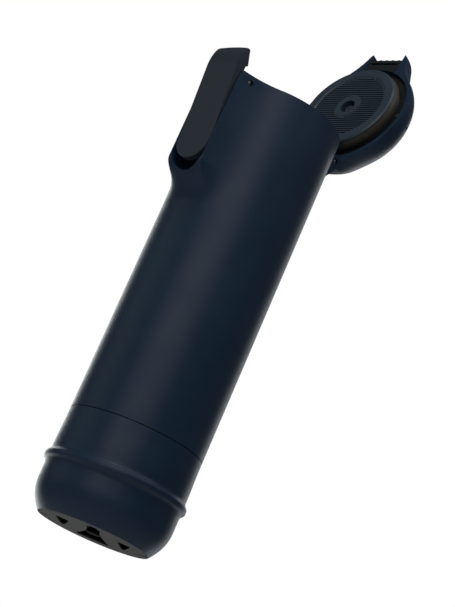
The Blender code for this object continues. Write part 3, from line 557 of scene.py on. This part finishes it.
# deep fades the foot's colour and shine to near black from 0.3 to 1.4 mm above its underside: painted shade
# in its pockets.
FOOT = moulded("foot_moulding", [(0.021, 0.023, 0.019), (0.029, 0.031, 0.026)], (0.30, 0.42),
               grain=0.00003, scuff=0.10, specular=0.40, deep=(0.0003, 0.0014))
RUBBER = moulded("seal_rubber", [(0.021, 0.018, 0.012), (0.030, 0.026, 0.018)], (0.50, 0.66),
                 grain=0.00005, grain_scale=1800.0, sheen=0.1)
PALE = moulded("inner_plastic", [(0.50, 0.50, 0.48), (0.62, 0.62, 0.60)], (0.38, 0.5), grain=0.00004)
STEEL = moulded("turned_steel", [(0.20, 0.20, 0.215), (0.29, 0.29, 0.31)], (0.22, 0.36), grain=0.00001,
                grain_scale=900.0, metal=1.0, streak=(1.0, 14.0, 14.0))
PAINTS = {"navy_shell": SHELL, "charcoal_lever": LEVER, "dark_plastic": DARK, "foot_plastic": FOOT,
          "seal_rubber": RUBBER, "white_plastic": PALE, "steel": STEEL}


# Bottle

def make_bottle():
    inner_x = KNUCKLE_HALF + GAP
    wall = SHELL_WALL - 0.2
    pocket_walls = prism(arch_outline(SLOT_HALF + wall, POCKET_LOW_Z - wall, RIM_Z + 20.0), "y",
                         -NOSE_REACH - 10.0, POCKET_FLOOR_Y + wall + 0.7)
    hollow = carve("hollow", bottle_solid(SHELL_WALL, SEAM_Z - 5.0, RIM_Z - RIM_DECK),
                   ("DIFFERENCE", pocket_walls))
    inside = bmesh.new()
    inside.from_mesh(hollow.data)
    bpy.data.objects.remove(hollow)
    shell = carve("bottle_shell", bottle_solid(0.0, SEAM_Z, RIM_Z),
                  ("UNION", join(prism(lug_outline(), "x", inner_x, LUG_OUT_X),
                                 prism(lug_outline(), "x", -LUG_OUT_X, -inner_x))),
                  ("DIFFERENCE", inside),
                  ("DIFFERENCE", prism(arch_outline(SLOT_HALF, POCKET_LOW_Z, RIM_Z + 5.0), "y",
                                       -NOSE_REACH - 10.0, POCKET_FLOOR_Y)),
                  ("DIFFERENCE", lathe([(0, RIM_Z - 10), (LINER_R + GAP, RIM_Z - 10),
                                        (LINER_R + GAP, RIM_Z + 5), (0, RIM_Z + 5)])),
                  ("DIFFERENCE", prism(knuckle_room_outline(), "x", -inner_x - 0.1, inner_x + 0.1)),
                  ("DIFFERENCE", join(rod("x", PIN_R + GAP, (LATCH_Y, LATCH_Z), -40, 40),
                                      rod("x", PIN_R + GAP, (HINGE_Y, HINGE_Z), -40, 40))))
    dress(shell, "bottle", SHELL, ["body_shell"], edge=0.35)


def pin(name, centre, half, node):
    """A turned pin with domed ends."""
    bm = lathe([(0, -half), (0.8, -half), (1.25, -half + 0.2), (PIN_R, -half + 0.6), (PIN_R, half - 0.6),
                (1.25, half - 0.2), (0.8, half), (0, half)], 32)
    bmesh.ops.rotate(bm, verts=bm.verts, matrix=Matrix.Rotation(math.pi / 2, 3, "Y"))
    bmesh.ops.translate(bm, verts=bm.verts, vec=(0, *centre))
    dress(raw_object(name, bm), "bottle", STEEL, [node], edge=0)


# Pump handle and foot

def rib_height(away):
    """How proud the rib stands at a height away from its crest: a full bead with soft fillets."""
    tail = 1.0 / (1.0 + (RIB_FOOT_H / RIB_HALF_H) ** 4)
    return RIB_PROUD * max(0.0, 1.0 / (1.0 + (away / RIB_HALF_H) ** 4) - tail) / (1.0 - tail)


def handle_profile():
    """The handle's outside from the foot up: round below, the rib, then a soft run up to the seam."""
    points = []
    steps = 22
    for k in range(steps + 1):
        z = FOOT_ROUND_H * (k / steps) ** 1.2
        points.append((BELLY_R - (BELLY_R - FOOT_R) * (1 - z / FOOT_ROUND_H) ** 2.15, z))
    steps = 36
    for k in range(steps + 1):
        away = RIB_FOOT_H * (2.0 * k / steps - 1.0)
        points.append((BELLY_R + rib_height(away), RIB_Z + away))
    low, high = RIB_Z + 8.0, SEAM_Z - 3.0
    for k in range(9):
        points.append((BELLY_R - (BELLY_R - BODY_R) * smooth_step(k / 8), low + (high - low) * k / 8))
    return points + [(BODY_R, SEAM_Z - SEAM_GAP)]


def foot_screw_places():
    spin = Matrix.Rotation(FOOT_TURN, 2)
    return [tuple(spin @ Vector((side * LEAF_X, -3.0))) for side in (-1, 1)]


def make_handle():
    top = SEAM_Z - SEAM_GAP
    floor_low = PLATE_T + GAP
    floor_high = floor_low + FLOOR_T
    inner = HANDLE_IN_R
    profile = handle_profile() + [
        (inner, top), (inner, 60.0), (inner + 1.0, 60.0), (inner + 1.0, 56.2), (inner, 56.2), (inner, 12.5),
        (inner - 1.2, 9.5), (inner - 3.2, floor_high), (8.3, floor_high), (8.3, floor_low),
        (PLATE_R + GAP, floor_low), (PLATE_R + GAP, 0.0)]
    tab = turned(box((-2.0, -PLATE_R - 0.8, 0.4), (2.0, -24.3, floor_low + 0.5)), FOOT_TURN)
    bosses = [rod("z", 2.3, place, floor_low + 1.0, 12.0) for place in foot_screw_places()]
    holes = [rod("z", 1.25, place, floor_low - 2.0, 15.0) for place in foot_screw_places()]
    shell = carve("handle_cup", lathe(profile), ("UNION", join(tab, *bosses)), ("DIFFERENCE", join(*holes)))
    dress(shell, "pump", SHELL, ["handle_shell"], edge=0.3)


def trumpet_outline(steps=22):
    """The foot's middle pocket: a straight neck that flares to a wide mouth with round corners."""
    neck, mouth, flare_low, flare_high = 4.1, 9.9, -9.5, 18.5
    right = [(neck, -23.5)]
    for k in range(steps + 1):
        t = k / steps
        right.append((neck + (mouth - neck) * t ** 1.5, flare_low + (flare_high - flare_low) * t))
    right += [(mouth + 0.3 - 2.2 * (1 - math.cos(math.pi / 2 * k / 8)),
               21.7 + 2.2 * math.sin(math.pi / 2 * k / 8)) for k in range(9)]
    return right + [(-x, y) for x, y in reversed(right)]


def leaf_outline(side, steps=26):
    """A side pocket of the foot: a square lower end with round corners, drawn to a point above."""
    low, high, half, round_r = -11.5, 12.2, 4.1, 1.3
    right = [(half - round_r + round_r * math.sin(math.pi / 2 * k / 8),
              low + round_r * (1.0 - math.cos(math.pi / 2 * k / 8))) for k in range(8)]
    start = round_r / (high - low)
    for k in range(steps):
        t = start + (1.0 - start) * k / steps
        right.append((half * ((1.0 - t) / (1.0 - start)) ** 0.6, low + (high - low) * t))
    outline = right + [(0.0, high)] + [(-x, y) for x, y in reversed(right)]
    return [(side * LEAF_X + x, y) for x, y in outline]


def make_foot():
    hub_high = 9.0
    head_room, web = 5.5, 0.9
    cap_r, screw_r = 4.4, 3.1
    head_low = head_room - GAP - 1.8
    plate = lathe([(1.8, 2.6), (3.5, 2.6), (3.5, 0), (PLATE_R, 0), (PLATE_R, PLATE_T), (8.0, PLATE_T),
                   (8.0, hub_high), (4.3, hub_high), (4.3, head_room + web), (1.8, head_room + web)])
    pockets = [prism(trumpet_outline(), "z", -2.0, POCKET_DEPTH)]
    pockets += [prism(leaf_outline(side), "z", -2.0, POCKET_DEPTH) for side in (-1, 1)]
    for middle in (-30.3, 30.3):
        pockets.append(box((middle - 2.1, 0.8, -2.0), (middle + 2.1, 2.6, POCKET_DEPTH - 0.5)))
    pockets.append(box((-0.9, 29.4, -2.0), (0.9, 32.2, POCKET_DEPTH - 1.0)))
    notch = box((-2.3, -PLATE_R - 3.0, -2.5), (2.3, -23.0, PLATE_T + 2.0))
    holes = [rod("z", 1.5, place, -1.0, PLATE_T + 2.0) for place in foot_screw_places()]
    well = rod("z", cap_r + GAP, (0, 0), -1.0, head_room, 48)
    foot = carve("foot_disc", plate, ("DIFFERENCE", turned(join(*pockets), FOOT_TURN)),
                 ("DIFFERENCE", turned(notch, FOOT_TURN)), ("DIFFERENCE", join(*holes, well)))
    dress(foot, "pump", FOOT, ["foot_plate"], edge=0.35)
    # The cap takes the near-black painted-shade material.
    cap = raw_object("rod_plug", lathe([(0, 0), (cap_r, 0), (cap_r, head_room - GAP),
                                        (screw_r + GAP, head_room - GAP), (screw_r + GAP, head_low - GAP),
                                        (0, head_low - GAP)], 64))
    dress(cap, "pump", SHADED_CAP, ["rod_cap"], edge=0.5, segments=3)
    head_high = POCKET_DEPTH - GAP
    for number, place in enumerate(foot_screw_places(), 1):
        screw(f"foot_fixing_{number}", place, 2.4, head_high - 1.3, head_high, 0.9, 11.0, "pump",
              [f"foot_screw_{number}"])


def screw(name, place, head_r, head_low, head_high, shank_r, tip, body, nodes, opened=False):
    """A cheese-head screw with a hexagon socket, standing on its head."""
    profile = [(0, head_low), (head_r, head_low), (head_r, head_high),
               (shank_r, head_high), (shank_r, tip), (0, tip)]
    socket = rod("z", head_r * 0.5, place, head_low - 1.0, (head_low + head_high) / 2, 6)
    solid = carve(name, lathe(profile, 40, place), ("DIFFERENCE", socket))
    dress(solid, body, STEEL, nodes, edge=0.18, opened=opened)


# Lever

def lever_outline():
    """The lever from the side: a flat face that flares to the brow, a head that leans back, and the hook."""
    face = -NOSE_REACH
    back = face + LEVER_T
    brow = face - LEVER_FLARE
    undercut = HOOK_Y - HOOK_UNDERCUT
    outer = [(face, LEVER_LOW_Z - 1.0)]
    for k in range(9):
        t = k / 8
        outer.append((face + (brow - face) * 0.09 * t ** 2, FLARE_LOW_Z - 4.0 + 8.0 * t))
    outer.append((brow, BROW_Z))
    for k in range(1, 25):
        outer.append((brow + LEVER_LEAN * (k / 24) ** 2.4, BROW_Z + (LEVER_TOP_Z - BROW_Z) * k / 24))
    inner = [(HOOK_Y, HOOK_Z + 0.6), (HOOK_Y - 0.1, HOOK_Z),
             (undercut, HOOK_Z), (undercut, HOOK_Z - 5.0), (back - 0.8, FLARE_LOW_Z + 22.0),
             (back, FLARE_LOW_Z), (back, LEVER_LOW_Z - 1.0)]
    return outer + inner


def lever_front_outline(half):
    """The lever from the front: half round below, small round corners and a low arch above."""
    low = LEVER_LOW_Z + (LEVER_HALF - half)
    outline = arch_outline(half, low, LEVER_TOP_Z)[:-2]
    flat = half - HEAD_CORNER_R
    corner_z = LEVER_TOP_Z - HEAD_ARCH * 0.9 - HEAD_CORNER_R
    right = [(flat + HEAD_CORNER_R * math.cos(math.pi / 2 * k / 6),
              corner_z + HEAD_CORNER_R * math.sin(math.pi / 2 * k / 6)) for k in range(6)]
    right += [(flat * t, LEVER_TOP_Z - HEAD_ARCH * (flat * t / half) ** 2)
              for t in (1.0, 0.85, 0.7, 0.55, 0.4, 0.25, 0.1)]
    return outline + right + [(-x, z) for x, z in reversed(right)]


def make_lever():
    plain_y, taper = -NOSE_REACH + 1.0, 0.6
    levels = [(-30.0, LEVER_HALF), (plain_y, LEVER_HALF), (plain_y - 5.5, LEVER_HALF - taper)]
    front = loft([[(x, y, z) for x, z in lever_front_outline(half)] for y, half in levels])
    root = HOOK_Y - HOOK_UNDERCUT - 0.5
    tongue = [(root, HOOK_Z), (TONGUE_Y, HOOK_Z), (TONGUE_Y, HOOK_Z + 0.9), (HOOK_Y + 0.4, HOOK_Z + 4.2),
              (root, HOOK_Z + 5.4)]
    deep = root - 0.9
    wide = LEVER_HALF - 1.0
    cheek = [(deep, LATCH_Z - BOSS_R - 2.0), (LATCH_Y, LATCH_Z - BOSS_R)]
    cheek += [(LATCH_Y + BOSS_R * math.sin(math.pi * k / 16), LATCH_Z - BOSS_R * math.cos(math.pi * k / 16))
              for k in range(1, 16)]
    cheek += [(LATCH_Y, LATCH_Z + BOSS_R), (deep, LATCH_Z + BOSS_R + 1.0)]
    bosses = join(prism(cheek, "x", SPRING_HALF, wide), prism(cheek, "x", -wide, -SPRING_HALF))
    lever = carve("rocker_lever", prism(lever_outline(), "x", -LEVER_HALF - 2.0, LEVER_HALF + 2.0),
                  ("INTERSECT", front), ("UNION", prism(tongue, "x", -TONGUE_HALF, TONGUE_HALF)),
                  ("UNION", bosses),
                  ("DIFFERENCE", rod("x", PIN_R + GAP, (LATCH_Y, LATCH_Z), -40, 40)))
    dress(lever, "latch", LEVER, ["latch_lever"], edge=0.55, segments=3)


# Lid

PLATE_REACH = LID_BORE_R - 2.5
PLATE_SCREWS = [(PLATE_REACH, 0.0), (-PLATE_REACH, 0.0), (0.0, PLATE_REACH), (0.0, -PLATE_REACH)]
LID_PLATE_LOW = LID_Z + 2.8
LID_PLATE_HIGH = LID_Z + 5.0
LID_PLATE_R = LID_BORE_R - 0.8


def make_lid():
    turn = math.radians(205)
    arc = [(HINGE_Y + KNUCKLE_R * math.cos(math.pi + turn * k / 26),
            HINGE_Z + KNUCKLE_R * math.sin(math.pi + turn * k / 26)) for k in range(27)]
    arm = prism(arc + [(HINGE_Y + 1.0, LID_Z + 4.0), (HINGE_Y - KNUCKLE_R, LID_Z + 4.0)], "x",
                -KNUCKLE_HALF, KNUCKLE_HALF)
    posts = [rod("z", 6.0, (0, 0), LID_PLATE_HIGH + GAP, LID_Z + DOME_H - 1.0)]
    posts += [rod("z", 2.2, place, LID_PLATE_HIGH + GAP, LID_PLATE_HIGH + 8.0) for place in PLATE_SCREWS]
    holes = [rod("z", 1.6, (0, 0), LID_PLATE_HIGH - 2.0, LID_PLATE_HIGH + 13.0)]
    holes += [rod("z", 1.0, place, LID_PLATE_HIGH - 2.0, LID_PLATE_HIGH + 4.5) for place in PLATE_SCREWS]
    holes += [rod("x", PIN_R + GAP, (HINGE_Y, HINGE_Z), -40, 40)]
    room_r, room_out = KNUCKLE_R + KNUCKLE_ROOM, LUG_OUT_X + KNUCKLE_ROOM
    shell = carve("lid_dome", dome_solid(), ("DIFFERENCE", dome_hollow()),
                  ("DIFFERENCE", box((-SLOT_HALF, -80.0, LID_Z - 10.0),
                                     (SLOT_HALF, SLOT_BACK_Y, LID_Z + DOME_H + 5.0))),
                  ("DIFFERENCE", box((-SLOT_HALF, SLOT_BACK_Y - 0.5, LID_Z - 1.0),
                                     (SLOT_HALF, -36.0, LID_Z + 1.0))),
                  ("DIFFERENCE", join(rod("x", room_r, (HINGE_Y, HINGE_Z), KNUCKLE_HALF, room_out, 64),
                                      rod("x", room_r, (HINGE_Y, HINGE_Z), -room_out, -KNUCKLE_HALF, 64))),
                  ("UNION", arm), ("UNION", join(*posts)), ("DIFFERENCE", join(*holes)))
    dress(shell, "lid", SHELL, ["lid_shell"], edge=0.3, opened=True)
    inner = carve("lid_deck", lathe([(1.9, LID_PLATE_LOW), (LID_PLATE_R, LID_PLATE_LOW),
                                     (LID_PLATE_R, LID_PLATE_HIGH), (1.9, LID_PLATE_HIGH)]),
                  ("DIFFERENCE", join(*[rod("z", 1.1, place, LID_PLATE_LOW - 3.0, LID_PLATE_HIGH + 3.0)
                                        for place in PLATE_SCREWS])))
    dress(inner, "lid", DARK, ["lid_inner_plate"], edge=0.2, opened=True)
    for number, place in enumerate(PLATE_SCREWS, 1):
        screw(f"lid_fixing_{number}", place, 1.35, LID_PLATE_LOW - GAP - 1.3, LID_PLATE_LOW - GAP, 0.7,
              LID_PLATE_HIGH + 3.6, "lid", [f"lid_plate_screw_{number}"], True)


def make_plug():
    """The plug with its disc of fine ribs, the gasket round it and the screw through its middle."""
    face = RIM_Z - PLUG_DEPTH
    seat = GASKET_R - 4.4
    back = LID_PLATE_LOW - GAP
    flange = back - 1.0
    recess_r, recess_z, land_r = 5.2, face + 4.8, 8.6
    rib_zone, cut = PLUG_RIB_ZONE_R, PLUG_GROOVE_HALF
    profile = [
        (1.9, recess_z), (recess_r, recess_z), (recess_r, face + 0.4), (land_r, face + 0.4),
        (land_r, face + 0.6), (rib_zone, face + 0.6), (rib_zone + 0.7, face), (PLUG_LIP_R - 0.9, face),
        (PLUG_LIP_R, face + 0.9), (PLUG_LIP_R, face + 1.3), (seat, face + 1.3), (seat, flange),
        (GASKET_R - 1.2, flange), (GASKET_R - 1.2, back), (1.9, back)]
    grooves = []
    count = int(rib_zone / PLUG_RIB_PITCH)
    for k in range(-count, count + 1):
        y = (k + 0.5) * PLUG_RIB_PITCH
        edge = abs(y) + cut
        if edge > rib_zone:
            continue
        reach = math.sqrt(max(0.0, (rib_zone - 0.4) ** 2 - edge ** 2))
        inside = math.sqrt(max(0.0, (land_r + 0.8) ** 2 - max(0.0, abs(y) - cut) ** 2))
        spans = [(-reach, reach)] if inside == 0.0 else [(-reach, -inside), (inside, reach)]
        grooves += [box((low, y - cut, face - 2.0), (high, y + cut, face + 1.4))
                    for low, high in spans if high - low > 1.0]
    plug = carve("plug_disc", lathe(profile), ("DIFFERENCE", join(*grooves)))
    dress(plug, "lid", PLUG, ["plug_carrier"], edge=0.12, opened=True)
    bore = seat + GAP
    gasket = raw_object("gasket_ring", lathe([
        (bore, face + 1.6), (GASKET_R - 1.1, face + 1.6), (GASKET_R - 0.5, face + 2.9),
        (GASKET_R - 0.1, face + 4.1), (GASKET_R, face + 5.2), (GASKET_R, face + 6.4),
        (GASKET_R - 0.3, face + 7.2), (GASKET_R - 0.8, face + 7.5),
        (GASKET_R - 0.8, flange - GAP), (bore, flange - GAP)]))
    dress(gasket, "lid", RUBBER, ["plug_gasket"], edge=0.25, opened=True)
    screw("plug_fixing", (0, 0), 2.9, recess_z - 2.1, recess_z - GAP, 1.3, LID_Z + 16.0, "lid",
          ["plug_screw"], True)


def make_catch():
    """The toothed bar between the ears, its two arms, and a thin ledge let into the rim behind it."""
    high = HOOK_Z - 0.5
    low = high - 3.3
    outer = TONGUE_Y - 1.0 + TOOTH_PROUD
    inner = outer + 2.4
    end = SLOT_HALF - GAP
    root, depth = outer + 0.2, TOOTH_PROUD + 0.2
    teeth = []
    for k in range(CATCH_TEETH):
        x = (k - (CATCH_TEETH - 1) / 2) * CATCH_PITCH
        tooth = [(x + TOOTH_HALF * math.cos(math.pi * n / 16), root - depth * math.sin(math.pi * n / 16))
                 for n in range(17)]
        tooth += [(x - TOOTH_HALF, outer + 0.6), (x + TOOTH_HALF, outer + 0.6)]
        teeth.append(prism(tooth, "z", low + 0.4, high - 0.1))
    arms = [box((min(s * end, s * (end - 2.0)), inner - 0.5, low + 0.2),
                (max(s * end, s * (end - 2.0)), SLOT_BACK_Y - GAP, high - 0.3)) for s in (-1, 1)]
    ledge_r = LID_BORE_R + GAP
    span = math.asin(end / ledge_r)
    turns = [span * (1 - k / 8) for k in range(17)]
    ledge = [(ledge_r * math.sin(a), -ledge_r * math.cos(a)) for a in turns]
    ledge += [(-end, SLOT_BACK_Y - 1.3), (end, SLOT_BACK_Y - 1.3)]
    bar = carve("catch_rail", box((-end, outer, low), (end, inner, high)), ("UNION", join(*teeth, *arms)),
                ("UNION", prism(ledge, "z", LID_Z + 0.1, LID_Z + 0.75)))
    dress(bar, "lid", DARK, ["catch_bar"], edge=0.25, opened=True)


make_bottle()
pin("hinge_rod", (HINGE_Y, HINGE_Z), HINGE_PIN_HALF, "hinge_pin")
pin("latch_rod", (LATCH_Y, LATCH_Z), LATCH_PIN_HALF, "latch_pin")
make_handle()
make_foot()
make_lever()
make_lid()
make_plug()
make_catch()

slots = {row["node"]: row["material_slot"] for row in frame["record"]["subparts"]}
for name, node in frame["nodes"].items():
    node.data.materials.clear()
    node.data.materials.append(PAINTS[slots[name]])


# Camera: the photograph's, found by fitting a perspective camera to the rim, seam, rib and lid

def camera(place, azimuth, elevation, roll, lens):
    """Look from a place in millimetres, with a roll about the line of sight; angles are in degrees."""
    a, e, r = (math.radians(v) for v in (azimuth, elevation, roll))
    back = Vector((math.sin(a) * math.cos(e), -math.cos(a) * math.cos(e), math.sin(e)))
    right0 = (-back).cross(Vector((0, 0, 1))).normalized()
    up0 = right0.cross(-back)
    right = right0 * math.cos(r) + up0 * math.sin(r)
    up = up0 * math.cos(r) - right0 * math.sin(r)
    data = bpy.data.cameras.new("camera")
    data.sensor_width = 36.0
    data.lens = lens
    data.clip_start = 0.01
    data.clip_end = 50.0
    obj = bpy.data.objects.new("camera", data)
    turn = Matrix((right, up, back)).transposed().to_4x4()
    obj.matrix_world = Matrix.Translation([v * MM for v in place]) @ turn
    bpy.context.scene.collection.objects.link(obj)
    bpy.context.scene.camera = obj


camera((729.5, -674.6, -126.2), CAMERA_AZIMUTH, -16.02, 23.58, 101.82)


# Floor and light

# Lamps: azimuth from the camera's in degrees, distance, height, width and length, watts, colour
STUDIO = [("key_low", -27.0, 1.4, 0.42, (0.45, 0.45), 2.5, (1.0, 1.0, 1.0)),
          ("key_high", -3.0, 1.4, 0.66, (0.45, 0.40), 2.6, (1.0, 1.0, 1.0)),
          ("top_right", 58.0, 0.65, 1.2, (0.8, 0.8), 2.6, (1.0, 1.0, 1.0)),
          ("top_left", -25.0, 0.50, 1.2, (0.35, 0.35), 3.6, (1.0, 1.0, 1.0)),
          ("fill_left", -88.0, 1.4, 0.45, (0.9, 0.8), 1.3, (0.86, 1.0, 0.86)),
          ("rim_left", -158.0, 1.3, 0.2, (0.5, 1.4), 9.0, (0.94, 1.0, 1.0)),
          ("rim_right", 152.0, 1.3, 0.2, (0.4, 1.4), 3.0, (0.94, 0.97, 1.0))]
FLOOR_Z = -0.65
FLOOR_REACH = 3.0


def area_light(name, place, target, size, power, colour):
    data = bpy.data.lights.new(name, "AREA")
    data.shape = "RECTANGLE"
    data.size, data.size_y = size
    data.energy = power
    data.color = colour
    obj = bpy.data.objects.new(name, data)
    obj.location = place
    obj.rotation_euler = (Vector(target) - Vector(place)).to_track_quat("-Z", "Y").to_euler()
    obj.visible_camera = False
    bpy.context.scene.collection.objects.link(obj)


def make_stage():
    """A pale floor well below the bottle, a white backdrop that hardly lights it, and the lamps."""
    bm = bmesh.new()
    corners = [(-1, -1), (1, -1), (1, 1), (-1, 1)]
    bm.faces.new([bm.verts.new((x * FLOOR_REACH, y * FLOOR_REACH, FLOOR_Z)) for x, y in corners])
    floor = raw_object("floor", bm)
    mat = bpy.data.materials.new("floor")
    mat.use_nodes = True
    shader = mat.node_tree.nodes["Principled BSDF"]
    shader.inputs["Base Color"].default_value = (0.9, 0.9, 0.9, 1.0)
    shader.inputs["Roughness"].default_value = 0.9
    floor.data.materials.append(mat)

    world = bpy.data.worlds.new("studio")
    bpy.context.scene.world = world
    world.use_nodes = True
    nodes, links = world.node_tree.nodes, world.node_tree.links
    seen = nodes["Background"]
    seen.inputs["Color"].default_value = (1.0, 1.0, 1.0, 1.0)
    seen.inputs["Strength"].default_value = 1.0
    felt = nodes.new("ShaderNodeBackground")
    felt.inputs["Color"].default_value = (1.0, 1.0, 1.0, 1.0)
    felt.inputs["Strength"].default_value = 0.10
    which = nodes.new("ShaderNodeMixShader")
    links.new(nodes.new("ShaderNodeLightPath").outputs["Is Camera Ray"], which.inputs["Fac"])
    links.new(felt.outputs["Background"], which.inputs[1])
    links.new(seen.outputs["Background"], which.inputs[2])
    links.new(which.outputs["Shader"], nodes["World Output"].inputs["Surface"])

    for name, azimuth, distance, z, size, power, colour in STUDIO:
        turn = math.radians(CAMERA_AZIMUTH + azimuth)
        place = (distance * math.sin(turn), -distance * math.cos(turn), z)
        area_light(name, place, (0.0, 0.0, 0.16), size, power, colour)


make_stage()
bpy.context.scene.view_settings.view_transform = "Standard"
